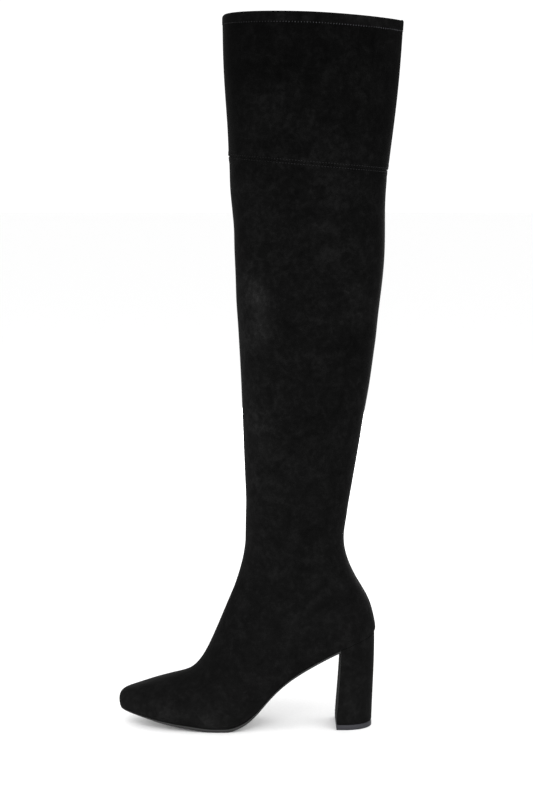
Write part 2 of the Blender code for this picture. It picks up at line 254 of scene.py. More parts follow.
def gridFaces(index):
    # four-cornered faces between neighbouring rows and columns of point numbers
    low, high = index[..., :-1, :], index[..., 1:, :]
    return np.stack((low[..., :-1], high[..., :-1], high[..., 1:], low[..., 1:]), axis=-1).reshape(-1, 4)


def addMesh(name, points, quads, caps=(), sharp=None):
    # Turns millimetre points into a mesh in the frame. A face with two neighbouring corners in one point
    # becomes a triangle, one that is folded flat is left out, and so are points that no face uses.
    points = points.reshape(-1, 3)
    joined = quads == np.roll(quads, -1, axis=1)
    pinched = joined.sum(axis=1) == 1
    triangles = quads[pinched][~joined[pinched]].reshape(-1, 3)
    quads = quads[~joined.any(axis=1)]
    caps = [np.asarray(cap) for cap in caps]
    used = np.unique(np.concatenate([quads.ravel(), triangles.ravel()] + caps).astype(int))
    number = np.zeros(len(points), dtype=int)
    number[used] = np.arange(len(used))
    faces = number[quads].tolist() + number[triangles].tolist() + [number[cap].tolist() for cap in caps]
    mesh = bpy.data.meshes.new(name)
    mesh.from_pydata(((points[used] - frameOrigin) * mm).tolist(), [], faces)
    mesh.update()
    mesh.shade_smooth()
    if sharp is not None:
        mesh.set_sharp_from_angle(angle=sharp)
    piece = bpy.data.objects.new(name, mesh)
    bpy.context.scene.collection.objects.link(piece)
    return piece, used


def readMesh(piece):
    # places in millimetres and normals of all points
    mesh = piece.data
    places = np.empty(len(mesh.vertices) * 3)
    normals = np.empty(len(mesh.vertices) * 3)
    mesh.vertices.foreach_get("co", places)
    mesh.vertex_normals.foreach_get("vector", normals)
    return places.reshape(-1, 3) / mm + frameOrigin, normals.reshape(-1, 3)


def writeMesh(piece, points):
    # new places for all points
    piece.data.vertices.foreach_set("co", ((points - frameOrigin) * mm).ravel())
    piece.data.update()


def giveWall(piece, thickness):
    # thickness laid inwards from the finished outer face
    wall = piece.modifiers.new("wall", "SOLIDIFY")
    wall.thickness = thickness * mm
    wall.offset = -1.0


def handOver(piece, material, slot, *nodes):
    # material, body and the nodes that the piece stands for; slot is not used
    piece.data.materials.append(material)
    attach(piece, "root")
    if nodes:
        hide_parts(*nodes)


# How a crease dies away: points on its path, power of the fade at its ends, mm of fade at the centre plane
creaseFade = {"points": 40, "ends": 0.02, "power": 0.7, "side": 6.0}


def softTrough(points, path, width, depth, side):
    # Bell-shaped dip along a path of (along, height), dying away at its ends by a power of half a sine wave,
    # on one side of the boot or both (0)
    path = np.array(path, dtype=float)
    steps = np.linspace(0, 1, creaseFade["points"])
    route = smoothThrough(np.linspace(0, 1, len(path)), path, steps)
    gap = np.hypot(points[:, 0, None] - route[:, 0], points[:, 2, None] - route[:, 1])
    nearest = np.clip(steps[gap.argmin(axis=1)], creaseFade["ends"], 1 - creaseFade["ends"])
    fade = np.sin(math.pi * nearest) ** creaseFade["power"]
    onSide = fadeOut(-side * points[:, 1], 0, creaseFade["side"]) if side else 1.0
    return -depth * fade * onSide * bell(gap.min(axis=1), width)


def edgeRound(distance, radius):
    # quarter circle: how far a surface has dropped at a distance from its turned-in edge
    return -radius * (1 - np.sqrt(1 - np.clip(1 - distance / radius, 0, 1) ** 2))


def bell(distance, width):
    # e to the power of minus the square of distance over width
    return np.exp(-(distance / width) ** 2)


def fadeOut(distance, at, softness):
    # one before the place, nothing after it, by a smooth step
    return (1 - np.tanh((distance - at) / softness)) / 2


def hexColour(text):
    # sRGB hex to linear
    value = np.array([int(text[i:i + 2], 16) for i in (1, 3, 5)]) / 255
    linear = np.where(value <= 0.04045, value / 12.92, ((value + 0.055) / 1.055) ** 2.4)
    return tuple(linear) + (1.0,)


def addNode(tree, kind, inputs=None, **settings):
    # one node with its settings; an input is a value, or a socket that is linked to it
    node = tree.nodes.new(kind)
    for name, value in settings.items():
        setattr(node, name, value)
    for name, value in (inputs or {}).items():
        if isinstance(value, bpy.types.NodeSocket):
            tree.links.new(value, node.inputs[name])
        else:
            node.inputs[name].default_value = value
    return node


def newMaterial(name):
    # an empty material: itself, its nodes, its shader and the place on the piece in metres
    material = bpy.data.materials.new(name)
    material.use_nodes = True
    tree = material.node_tree
    tree.nodes.clear()
    output = addNode(tree, "ShaderNodeOutputMaterial")
    shader = addNode(tree, "ShaderNodeBsdfPrincipled")
    tree.links.new(shader.outputs[0], output.inputs["Surface"])
    place = addNode(tree, "ShaderNodeTexCoord").outputs["Object"]
    return material, tree, shader, place


def toneRamp(tree, factor, tones):
    # colour that runs through the tones, given as (place, sRGB hex), as the factor rises
    node = addNode(tree, "ShaderNodeValToRGB", {"Fac": factor})
    elements = node.color_ramp.elements
    while len(elements) < len(tones):
        elements.new(0.5)
    for element, (position, colour) in zip(elements, tones):
        element.position = position
        element.color = hexColour(colour)
    return node.outputs["Color"]


def timesToneAndLight(tree, colour):
    # the colour times the mesh's tone attribute, which holds painted light and shade on the suede and says
    # how light the nap or thread is at each place
    tone_and_painted_light = addNode(tree, "ShaderNodeAttribute", attribute_name="tone_and_painted_light")
    return addNode(tree, "ShaderNodeMix", {0: 1.0, 6: colour, 7: tone_and_painted_light.outputs["Color"]},
                   data_type="RGBA", blend_type="MULTIPLY").outputs[2]


noiseRange = (0.3, 0.7)  # nearly all of a noise lies between these
wavePeriod = 0.3         # a wave texture of scale one repeats about so often


def dressShader(tree, shader, look, colour, heights, wear=None):
    # Colour, bumps laid over one another and, where the look has a worn roughness, one that goes with the
    # wear from its own to that; the shine is even.
    tree.links.new(colour, shader.inputs["Base Color"])
    shader.inputs["Roughness"].default_value = look["roughness"]
    shader.inputs["Specular IOR Level"].default_value = look["shine"]
    if "worn" in look:
        rough = addNode(tree, "ShaderNodeMapRange", {
            "Value": wear, "From Min": noiseRange[0], "From Max": noiseRange[1],
            "To Min": look["roughness"], "To Max": look["worn"]})
        tree.links.new(rough.outputs["Result"], shader.inputs["Roughness"])
    below = {}
    for height, (strength, depth) in zip(heights, look.get("bumps", ())):
        bump = addNode(tree, "ShaderNodeBump", {
            "Strength": strength, "Distance": depth * mm, "Height": height, **below})
        below = {"Normal": bump.outputs["Normal"]}
    if below:
        tree.links.new(below["Normal"], shader.inputs["Normal"])


# Black split suede, brushed: no gloss at all, light and dark clouds where the nap lies either way, a fine
# tooth of fibre ends, and a paler bloom where it is seen along the surface
suede = {
    "tones": ((0.38, "#060606"), (0.5, "#0c0c0c"), (0.62, "#151515")),
    "layers": (  # name, share over the ones before, size in mm, detail, roughness, distortion
        ("cloud", 1.0, 13.0, 2.0, 0.55, 0.6),
        ("drift", 0.4, 45.0, 1.0, 0.5, 0.0),
        ("brush", 0.42, 4.5, 3.0, 0.6, 0.3),
        ("fibre", 0.2, 0.9, 2.0, 0.7, 0.0),  # fibre ends are drawn coarser to show
    ),
    "contrast": ((60.0, 0.72), (600.0, 1.25)),  # height in mm, how strongly light and dark nap differ there
    "bumps": ((0.5, 0.25), (0.4, 0.6)),         # fibre and brush: strength, depth in mm
    "roughness": 0.9, "worn": 1.0, "shine": 0.02,
    "bloom": 0.07, "bloomRoughness": 0.35, "bloomColour": "#8a8a8a",
}


def makeSuede(name, look):
    # noises mixed one over another set the tone, spread from one half by the contrast at that height
    material, tree, shader, place = newMaterial(name)
    layers = {}
    nap = None
    for kind, share, size, detail, roughness, distortion in look["layers"]:
        noise = addNode(tree, "ShaderNodeTexNoise", {
            "Vector": place, "Scale": 1 / (size * mm), "Detail": detail, "Roughness": roughness,
            "Distortion": distortion})
        layers[kind] = noise.outputs["Fac"]
        if nap is None:
            nap = layers[kind]
        else:
            nap = addNode(tree, "ShaderNodeMix", {0: share, 2: nap, 3: layers[kind]}).outputs[0]
    (low, lowContrast), (high, highContrast) = look["contrast"]
    contrast = addNode(tree, "ShaderNodeMapRange", {
        "Value": addNode(tree, "ShaderNodeSeparateXYZ", {"Vector": place}).outputs["Z"],
        "From Min": low * mm, "From Max": high * mm, "To Min": lowContrast, "To Max": highContrast})
    spread = addNode(
        tree, "ShaderNodeMix", {0: contrast.outputs["Result"], 2: 0.5, 3: nap}, clamp_factor=False).outputs[0]
    # times the painted light and shade that each piece carries
    colour = timesToneAndLight(tree, toneRamp(tree, spread, look["tones"]))
    dressShader(tree, shader, look, colour, (layers["fibre"], layers["brush"]), layers["brush"])
    shader.inputs["Sheen Weight"].default_value = look["bloom"]
    shader.inputs["Sheen Roughness"].default_value = look["bloomRoughness"]
    shader.inputs["Sheen Tint"].default_value = hexColour(look["bloomColour"])
    return material


# Bonded polyester thread, waxed: black, but it catches the light beside suede; the twist is drawn coarse.
# The knee rows are pulled deep into the nap and look duller.
hemThread = {"tones": ((0.2, "#0b0b0c"), (0.8, "#1f1f21")), "twist": 0.8, "waver": 1.5,
             "bumps": ((0.4, 0.1),), "roughness": 0.5, "shine": 0.15}
kneeThread = dict(hemThread, tones=((0.2, "#060606"), (0.8, "#0a0a0b")), roughness=0.6, shine=0.08)


def makeThread(name, look):
    # slanted bands as wide as the twist give tone and relief
    material, tree, shader, place = newMaterial(name)
    twist = addNode(tree, "ShaderNodeTexWave", {
        "Vector": place, "Scale": wavePeriod / (look["twist"] * mm), "Distortion": look["waver"]},
        bands_direction="DIAGONAL").outputs["Fac"]
    dressShader(tree, shader, look, timesToneAndLight(tree, toneRamp(tree, twist, look["tones"])), (twist,))
    return material


# Dyed leather sole, edge inked and burnished: dull dark grey, streaked along the edge, a little scuffed below
soleLook = {"tones": ((0.3, "#111111"), (0.6, "#1c1c1c"), (0.8, "#262626")), "stain": (6.0, 4.0, 0.6),
            "grit": (0.8, 2.0, 0.6), "bumps": ((0.3, 0.15),), "roughness": 0.4, "worn": 0.65, "shine": 0.24}
# Moulded rubber heel lift: matt bluish grey with a fine grit
rubberLook = {"tones": ((0.3, "#1a1a1e"), (0.7, "#26262b")), "stain": (0.9, 3.0, 0.65),
              "bumps": ((0.35, 0.12),), "roughness": 0.62, "shine": 0.26}


def makeGrained(name, look):
    # tone and wear from the stain's noise, relief from the grit's or else the same one; each has a size in
    # mm, a detail and a roughness
    material, tree, shader, place = newMaterial(name)
    stain, grit = [addNode(tree, "ShaderNodeTexNoise", {
        "Vector": place, "Scale": 1 / (size * mm), "Detail": detail, "Roughness": roughness}).outputs["Fac"]
        for size, detail, roughness in (look["stain"], look.get("grit", look["stain"]))]
    dressShader(tree, shader, look, toneRamp(tree, stain, look["tones"]), (grit,), stain)
    return material


# Knitted polyester lining: dull black with fine ribs up the leg, drawn coarser than the real 0.6 mm to show
liningLook = {"tones": ((0.2, "#0e0e0f"), (0.8, "#1c1c1d")), "rib": 1.4, "waver": 0.8, "cloud": 12.0,
              "cloudShare": 0.5, "bumps": ((0.4, 0.2),), "roughness": 0.85, "shine": 0.25}


def makeLining(look):
    # ribs give the relief, and mixed with a cloud the tone
    material, tree, shader, place = newMaterial("knitted lining")
    rib = addNode(tree, "ShaderNodeTexWave", {
        "Vector": place, "Scale": wavePeriod / (look["rib"] * mm), "Distortion": look["waver"],
        "Detail": 1.0}, bands_direction="Y").outputs["Fac"]
    cloud = addNode(tree, "ShaderNodeTexNoise", {
        "Vector": place, "Scale": 1 / (look["cloud"] * mm), "Detail": 2.0}).outputs["Fac"]
    both = addNode(tree, "ShaderNodeMix", {0: look["cloudShare"], 2: rib, 3: cloud}).outputs[0]
    dressShader(tree, shader, look, toneRamp(tree, both, look["tones"]), (rib,))
    return material


blackSuede = makeSuede("black brushed suede", suede)
waxedThread = makeThread("waxed black thread", hemThread)
dullThread = makeThread("dull black thread", kneeThread)
inkedSole = makeGrained("inked leather sole", soleLook)
heelRubber = makeGrained("moulded rubber", rubberLook)
knitLining = makeLining(liningLook)
print("materials made")

# Columns round a girth: even turns, and a few more close to the back seam, as turns short of it
girthColumns = {"even": 66, "evenTo": 0.05, "back": (0.034, 0.022, 0.013, 0.007, 0.003, 0.0)}
backTurns = math.pi - np.array(girthColumns["back"])
evenTurns = np.linspace(0, math.pi - girthColumns["evenTo"], girthColumns["even"])
halfTurns = np.concatenate((evenTurns, backTurns))
turns = np.concatenate((-halfTurns[:0:-1], halfTurns))

# Knee seam: two panels sewn edge to edge, turned back and stitched down on either side
kneeSeam = {  # rows: distances from the seam
    "gap": 0.05, "edgeRadius": 1.0, "stitchAt": 1.65, "dip": 0.3, "dipWidth": 0.55,
    "allowance": 4.6, "allowanceFade": 0.9, "lift": 0.35, "proud": 0.35, "proudReach": 14.0,
    "rows": (0.05, 0.1, 0.2, 0.34, 0.5, 0.7, 0.95, 1.3, 1.65, 2.0, 2.4, 2.9, 3.5, 4.2, 5.0, 6.0),
}
# Seam up the back of the leg; it starts and deepens above the heel, in cuts
backSeam = {"depth": 0.45, "width": 0.6, "puff": 0.25, "puffAt": 2.6, "puffWidth": 1.8,
            "starts": 0.3, "deepens": 1.2}

# Creases as soft dips, and ridges where the depth is negative: name, side (-1 outer, 1 inner, 0 both),
# path of (along, height) in mm, width, depth
creases = (
    ("behind ankle", -1, ((196, 143), (186, 133), (174, 124)), 3.0, 1.0),
    ("behind ankle", 1, ((195, 143), (186, 136), (176, 127)), 3.2, 0.9),
    ("below that crease", -1, ((200, 136), (190, 126), (178, 117)), 5.0, -0.5),
    ("under ankle", -1, ((188, 122), (170, 112), (150, 108)), 7.0, 0.5),
    ("front of ankle", -1, ((118, 178), (130, 172), (145, 170)), 6.0, 0.6),
    ("front of ankle", 1, ((118, 180), (130, 173), (144, 172)), 6.0, 0.6),
    ("instep", -1, ((106, 132), (120, 122), (136, 118)), 7.0, 0.5),
    ("instep", 1, ((106, 134), (120, 125), (136, 121)), 7.0, 0.5),
    ("vamp bend", -1, ((80, 62), (84, 50), (92, 38)), 6.0, 0.5),
    ("vamp bend", 1, ((80, 62), (86, 50), (95, 40)), 6.0, 0.5),
    ("shin patch", -1, ((124, 425), (130, 397), (132, 370)), 12.0, -0.6),
    ("over shin", 0, ((80, 500), (108, 498), (140, 494)), 15.0, -0.6),
    ("over shin", 0, ((82, 461), (108, 462), (142, 457)), 15.0, 0.7),
    ("over shin", 0, ((84, 398), (110, 396), (140, 396)), 16.0, -0.4),
    ("low shin", 0, ((90, 200), (116, 196), (150, 196)), 16.0, -0.4),
    ("hollow of knee", 0, ((215, 520), (247, 513), (275, 510)), 6.0, 0.6),
    ("calf", 0, ((200, 296), (232, 290), (265, 288)), 18.0, 0.4),
    ("calf", 0, ((205, 366), (240, 362), (270, 360)), 14.0, -0.3),
    ("back of ankle", 0, ((185, 200), (212, 194), (240, 192)), 11.0, -0.5),
)

# Painted shade: the suede's tone by height in mm, darker up the leg where less light falls; and patches of
# painted light and shade as name, side, path, width, gain
paintedShadeByHeight = ((0, 1.0), (34, 0.93), (89, 0.75), (125, 0.73), (200, 0.67), (342, 0.57), (432, 0.56),
               (500, 0.5), (577, 0.43), (605, 0.34), (660, 0.3))
paintedPatches = (
    ("shin patch", -1, ((119, 424), (130, 392), (132, 352)), 10.0, 1.75),
    ("front of leg", 0, ((104, 420), (115, 330), (119, 240), (116, 170)), 17.0, 0.3),
    ("front of shin", -1, ((116, 400), (118, 350), (122, 300), (124, 270)), 16.0, 0.22),
    ("front of thigh", 0, ((95, 680), (100, 625), (106, 560)), 28.0, -0.5),
    ("top of thigh", -1, ((140, 642), (165, 615), (190, 590)), 22.0, -0.22),
    ("front of hem", -1, ((94, 652), (118, 655), (142, 656)), 6.0, 0.5),
    ("middle of hem", -1, ((142, 656), (160, 656), (180, 654)), 7.0, -0.25),
    ("back of hem", -1, ((196, 652), (222, 648), (252, 643)), 6.0, 0.6),
    ("back of thigh", -1, ((196, 598), (208, 590), (224, 576)), 16.0, 0.3),
    ("above knee seam", -1, ((134, 538), (154, 538), (180, 536)), 12.0, -0.35),
    ("back of leg", -1, ((256, 625), (250, 565), (241, 490), (237, 390)), 9.0, -0.32),
    ("under knee", -1, ((164, 492), (170, 474), (172, 452)), 11.0, 0.35),
    ("back of calf", -1, ((214, 420), (217, 396), (212, 372)), 11.0, 0.8),
    ("shin", -1, ((130, 300), (136, 276), (134, 256)), 10.0, 0.35),
    ("low calf", -1, ((166, 284), (184, 272), (198, 262)), 15.0, -0.3),
    ("back of low calf", -1, ((206, 325), (212, 305), (208, 285)), 12.0, -0.25),
    ("front of ankle", -1, ((122, 204), (118, 172), (110, 140)), 11.0, 0.28),
    ("over crease", -1, ((184, 156), (195, 142), (206, 128)), 9.0, 0.25),
    ("side of heel", -1, ((184, 114), (192, 102), (206, 98)), 12.0, 0.35),
    ("top of toe", -1, ((4, 34), (18, 42), (34, 46)), 9.0, -0.3),
    ("edge before ball", -1, ((34, 21), (66, 12)), 8.0, 0.42),
    ("edge at ball", -1, ((72, 12), (96, 6)), 8.0, 0.95),
    ("low back of calf", -1, ((212, 370), (219, 358), (224, 344)), 8.0, -0.35),
    ("ankle", -1, ((158, 172), (166, 156), (176, 138)), 15.0, -0.2),
    ("crease's edge", -1, ((198, 137), (187, 127), (176, 119)), 2.4, 0.6),
    ("vamp", 0, ((10, 34), (55, 48), (84, 66), (104, 110)), 20.0, -0.32),
)


def setToneAndLight(piece, tone_and_painted_light):
    # writes the tone attribute, with painted light and shade for the suede, that the suede and the thread
    # read
    piece.data.attributes.new("tone_and_painted_light", "FLOAT", "POINT").data.foreach_set("value", tone_and_painted_light)


def paintedLightAndShade(points):
    # share of the suede's tone with painted light and shade: painted shade read off by height, times one plus
    # the gain of each painted patch
    tone_and_painted_light = np.interp(points[:, 2], *np.transpose(paintedShadeByHeight))
    for _, side, path, width, gain in paintedPatches:
        tone_and_painted_light = tone_and_painted_light * (1 - softTrough(points, path, width, gain, side))
    return tone_and_painted_light


def creaseDrop(points):
    # the dips and ridges of all creases added up
    return sum(softTrough(points, path, width, depth, side) for _, side, path, width, depth in creases)


def kneeEdge(distance, above):
    # The panel's face near the knee seam: edge turned in, lifted by the allowance under it, dipped by the
    # stitches; the panel above stands a little proud.
    seam = kneeSeam
    lift = seam["lift"] * fadeOut(distance, seam["allowance"], seam["allowanceFade"])
    dip = -seam["dip"] * bell(distance - seam["stitchAt"], seam["dipWidth"])
    proud = seam["proud"] * np.exp(-distance / seam["proudReach"]) if above else 0
    return edgeRound(distance - seam["gap"], seam["edgeRadius"]) + lift + dip + proud


def backDip(distance):
    # groove of the back seam with the two allowances puffed up beside it
    seam = backSeam
    puff = seam["puff"] * bell(distance - seam["puffAt"], seam["puffWidth"])
    return puff - seam["depth"] * bell(distance, seam["width"])


def fromEnds(grid):
    # distance of each grid point from the nearer end of its row, measured along the row
    steps = np.linalg.norm(np.diff(grid, axis=1), axis=2)
    reach = np.concatenate((np.zeros((len(grid), 1)), np.cumsum(steps, axis=1)), axis=1)
    return np.minimum(reach, reach[:, -1:] - reach)


# Upper: foot and leg up to the knee seam. Rows near the seam lie at fixed distances from it, and the leg's
# rows below are drawn together to make room for them.
upperLook = {
    "rowStep": 2.5, "leather": 0.8, "margin": 5.0, "roomFromCut": 4.0, "room": 0.6,
    "feather": 1.0, "heelFeather": 0.3, "heelFrom": 190.0, "heelOver": 16.0,  # round of the edge at the sole
}
footNumbers = evenCuts(0, heelCut, upperLook["rowStep"])
footRows = len(footNumbers)
legNumbers = evenCuts(heelCut, seamCut, upperLook["rowStep"])[1:-1]
perCut = millimetresPerCut(seamCut, turns)
seamRows = np.array(kneeSeam["rows"])[::-1]
nearSeam = seamCut - seamRows[:, None] / perCut
mixFrom = seamCut - upperLook["roomFromCut"]
below = np.concatenate((footNumbers, legNumbers))[:, None] + np.zeros(len(turns))
squeeze = (nearSeam[0] - upperLook["room"] / perCut - mixFrom) / (seamCut - mixFrom)
below = np.where(below > mixFrom, mixFrom + (below - mixFrom) * squeeze, below)
upperNumbers = np.concatenate((below, nearSeam))
upperGrid = lastSurface(upperNumbers, turns)
upperSkin = upperGrid.reshape(-1, 3)
index = sheetIndex(len(upperGrid), len(turns), footRows)
edgeColumns = len(backTurns)  # on the foot these fall together into its edge at the sole
index[:footRows - 1, 1:edgeColumns] = index[:footRows - 1, :1]
index[:footRows - 1, -edgeColumns:-1] = index[:footRows - 1, -1:]

# the lasting margin turns in under the foot from the edge at the sole
feather = np.concatenate((index[footRows - 1::-1, 0], index[1:footRows, -1]))
marginAlong, marginSwing, marginHalf = insetOutline(
    np.clip(upperSkin[feather, 0], last["toeTip"], last["footLength"]), upperLook["margin"])
outerFeather = np.arange(len(feather)) < footRows
marginPoints = np.stack((
    marginAlong, marginSwing + np.where(outerFeather, -marginHalf, marginHalf),
    soleTop(marginAlong) + last["gap"]), axis=1)
marginIndex = len(upperSkin) + np.arange(len(feather))
marginIndex[-1] = marginIndex[0]
upper, used = addMesh(
    "upper_suede", np.concatenate((upperSkin, marginPoints)),
    np.concatenate((gridFaces(index), gridFaces(np.stack((marginIndex, feather))))))
points, normals = readMesh(upper)

# along the sole the wall faces sideways down to its very edge: the edge columns face as the one above them
upperShown = np.searchsorted(used, index)
facing = normals[upperShown]
facing[:footRows, :edgeColumns] = facing[:footRows, edgeColumns, None]
facing[:footRows, -edgeColumns:] = facing[:footRows, -edgeColumns - 1, None]
facing[footRows - 1] = facing[footRows]
normals[upperShown] = facing

seamDistance = np.maximum((seamCut - upperNumbers) * perCut, 0)
onLeg = np.clip((upperNumbers - heelCut - backSeam["starts"]) / backSeam["deepens"], 0, 1)
drop = kneeEdge(seamDistance, False) + onLeg * backDip(fromEnds(upperGrid))
drop = np.concatenate((drop.ravel(), np.zeros(len(marginPoints))))[used]
onFoot = np.clip(points[:, 0], last["toeTip"], last["footLength"])
clearance = (points[:, 2] - soleTop(onFoot) - last["gap"]) / soleStretch(onFoot)
atHeel = np.clip((points[:, 0] - upperLook["heelFrom"]) / upperLook["heelOver"], 0, 1)
radius = upperLook["feather"] + atHeel * (upperLook["heelFeather"] - upperLook["feather"])
shaped = edgeRound(np.maximum(clearance, 0), radius) + creaseDrop(points)
drop = drop + np.where(used < len(upperSkin), shaped, 0)
upperPoints = points + normals * drop[:, None]
writeMesh(upper, upperPoints)
# painted light and shade on the upper: darker up the leg, with lighter and darker painted patches
setToneAndLight(upper, paintedLightAndShade(upperPoints))
giveWall(upper, upperLook["leather"])
handOver(upper, blackSuede, "suede", "upper")
print("upper:", len(upper.data.polygons), "faces")

# Thigh panel: knee seam to collar, folded over at the top and stitched down as a hem
hem = {  # rows: distances from the collar
    "stitchAt": 9.3, "dip": 0.4, "dipWidth": 0.6, "fold": 1.25, "foldSteps": 12, "turned": 12.0,
    "lift": 0.3, "liftFade": 0.6, "leather": 0.7, "roll": 3.0, "rollTurn": 0.6,
    "stripTone": 1.55, "stripFade": 0.8, "rowStep": 2.3,
    "rows": (13.0, 11.6, 10.6, 10.0, 9.6, 9.3, 9.0, 8.7, 8.4, 8.0, 7.4, 6.4, 5.0, 3.6, 2.4, 1.7, 1.25),
}
nearKnee = seamCut + np.array(kneeSeam["rows"])[:, None] / perCut
perTop = millimetresPerCut(collarCut - 2 * cutNudge, turns)
hemRows = np.array(hem["rows"])
nearCollar = collarCut - hemRows[:, None] / perTop
span = nearCollar[0] - nearKnee[-1]
count = int((span * perCut).max() / hem["rowStep"])
between = nearKnee[-1] + span * np.linspace(0, 1, count)[1:-1, None]
thighNumbers = np.concatenate((nearKnee, between, nearCollar))
thighGrid = lastSurface(thighNumbers, turns)
collarDistance = np.maximum((collarCut - thighNumbers) * perTop, 0)
kneeDistance = np.maximum((thighNumbers - seamCut) * perCut, 0)
thighIndex = sheetIndex(len(thighGrid), len(turns), 1)
sheet, used = addMesh("thigh_sheet", thighGrid, gridFaces(thighIndex))  # read off and removed
points, normals = readMesh(sheet)
bpy.data.meshes.remove(sheet.data)
hemLift = hem["lift"] * fadeOut(collarDistance, hem["stitchAt"], hem["liftFade"])
hemDip = hem["dip"] * bell(collarDistance - hem["stitchAt"], hem["dipWidth"])
rollRadius = hem["fold"] + hem["roll"] * bell(turns, hem["rollTurn"])  # rounder at the front
roll = edgeRound(collarDistance, rollRadius) - edgeRound(collarDistance, hem["fold"])
drop = kneeEdge(kneeDistance, True) + backDip(fromEnds(thighGrid)) + hemLift - hemDip + roll
drop = drop.ravel() + creaseDrop(thighGrid.reshape(-1, 3))
thighPoints = points + normals * drop[used][:, None]

# the hem folds over a half circle and runs down inside
thighShown = np.searchsorted(used, thighIndex)
facing = normals[thighShown]
outside = thighPoints[thighShown]
upward = outside[-1] - outside[-2]
upward = upward / np.linalg.norm(upward, axis=1)[:, None]
bend = np.linspace(0, math.pi, hem["foldSteps"])[1:, None, None]
fold = outside[-1] + hem["fold"] * (upward * np.sin(bend) - facing[-1] * (1 - np.cos(bend)))
inRows = np.flatnonzero(collarDistance[:, len(turns) // 2] < hem["turned"])[::-1]
inside = points[thighShown][inRows] - facing[inRows] * (2 * hem["fold"] - hem["lift"])
folded = np.concatenate((outside, fold, inside))
foldedIndex = sheetIndex(len(folded), len(turns), 1)
thigh, used = addMesh("thigh_panel_suede", folded, gridFaces(foldedIndex))
strip = np.ones(folded.shape[:2])
strip[:len(outside)] = fadeOut(collarDistance, hem["stitchAt"], hem["stripFade"])
stripGain = 1 + (hem["stripTone"] - 1) * strip.ravel()[used]
# painted light and shade on the thigh panel, times a lighter strip along the hem
setToneAndLight(thigh, paintedLightAndShade(folded.reshape(-1, 3)[used]) * stripGain)
giveWall(thigh, hem["leather"])
handOver(thigh, blackSuede, "suede", "thigh_panel")
print("thigh panel:", len(thigh.data.polygons), "faces")

# Lining: a knitted sleeve inside the leg and foot, tucked behind the hem
lining = {"from": 1.5, "thickness": 0.4, "below": 8.0, "rowStep": 6.0, "halfColumns": 37}
liningHalf = np.linspace(0, math.pi, lining["halfColumns"])
liningTurns = np.concatenate((-liningHalf[:0:-1], liningHalf))
liningFoot = evenCuts(0, heelCut, lining["rowStep"])
liningTop = collarCut - lining["below"] / perTop.mean()
liningNumbers = np.concatenate((liningFoot, evenCuts(heelCut, liningTop, lining["rowStep"])[1:]))
liningGrid = lastSurface(liningNumbers[:, None], liningTurns)
liningIndex = sheetIndex(len(liningGrid), len(liningTurns), len(liningFoot))
sleeve, _ = addMesh("lining", liningGrid, gridFaces(liningIndex))
points, normals = readMesh(sleeve)
writeMesh(sleeve, points - normals * lining["from"])
giveWall(sleeve, lining["thickness"])
handOver(sleeve, knitLining, "sock")
print("lining:", len(sleeve.data.polygons), "faces")

# Stitches: short loops of thread that sink into the suede at both ends; the thread shows less at the front
stitch = {
    "proud": 0.2, "sink": 0.42, "taper": 0.9, "stations": (-1.0, -0.8, -0.4, 0.0, 0.4, 0.8, 1.0), "sides": 6,
    "shows": ((100, 0.1), (118, 0.5), (140, 0.6), (152, 2.2), (205, 2.4), (262, 3.0)),  # along, share of tone
}
kneeStitch = {"pitch": 2.7, "length": 1.7, "radius": 0.38, "thread": dullThread}
hemStitch = {"pitch": 2.65, "length": 0.85, "radius": 0.57, "thread": waxedThread}


def readOff(table, reach, at):
    # rows of a table, given at distances along a path, read off at other distances
    return np.stack([np.interp(at, reach, column) for column in table.T], axis=1)


def stitchRow(path, facing, kind):
    # Each loop is a tube along the path's tangent: radius times a rounded end profile, its middle proud of
    # the suede and its ends sunk by the square of the distance from the middle.
    path = np.concatenate((path, path[:1]))
    facing = np.concatenate((facing, facing[:1]))
    reach = np.concatenate(([0], np.cumsum(np.linalg.norm(np.diff(path, axis=0), axis=1))))
    number = int(round(reach[-1] / kind["pitch"]))
    middle = (np.arange(number) + 0.5) * reach[-1] / number
    half = kind["length"] / 2
    place = readOff(path, reach, middle)
    tangent = readOff(path, reach, middle + half) - readOff(path, reach, middle - half)
    tangent = tangent / np.linalg.norm(tangent, axis=1)[:, None]
    up = readOff(facing, reach, middle)
    up = up - tangent * (up * tangent).sum(axis=1)[:, None]
    up = up / np.linalg.norm(up, axis=1)[:, None]
    beside = np.cross(tangent, up)
    station = np.array(stitch["stations"])
    sides = stitch["sides"]
    angle = np.arange(sides) * 2 * math.pi / sides
    radius = kind["radius"] * np.sqrt(1 - stitch["taper"] * station**4)[:, None]
    rise = (stitch["proud"] - stitch["sink"] * station**2)[:, None]
    ring = (place[:, None, None] + tangent[:, None, None] * (station * half)[None, :, None, None]
            + up[:, None, None] * (rise + radius * np.sin(angle))[None, :, :, None]
            + beside[:, None, None] * (radius * np.cos(angle))[None, :, :, None])
    corner = np.arange(number * len(station) * sides).reshape(number, len(station), sides)
    corner = np.concatenate((corner, corner[..., :1]), axis=2)
    ends = np.concatenate((corner[:, 0, :-1], corner[:, -1, -2::-1]))
    return ring.reshape(-1, 3), gridFaces(corner), ends


def addStitches(name, path, facing, kind):
    # a whole row as one piece, whose tone goes by place along
    loops, quads, ends = stitchRow(path, facing, kind)
    piece, _ = addMesh(name, loops, quads, ends)
    setToneAndLight(piece, np.interp(loops[:, 0], *np.transpose(stitch["shows"])))
    handOver(piece, kind["thread"], "suede")
    print(name + ":", len(ends) // 2, "stitches")


def rowAt(rows, distance):
    # number of the row that lies at a distance from its seam or hem
    return int(np.flatnonzero(np.array(rows) == distance)[0])


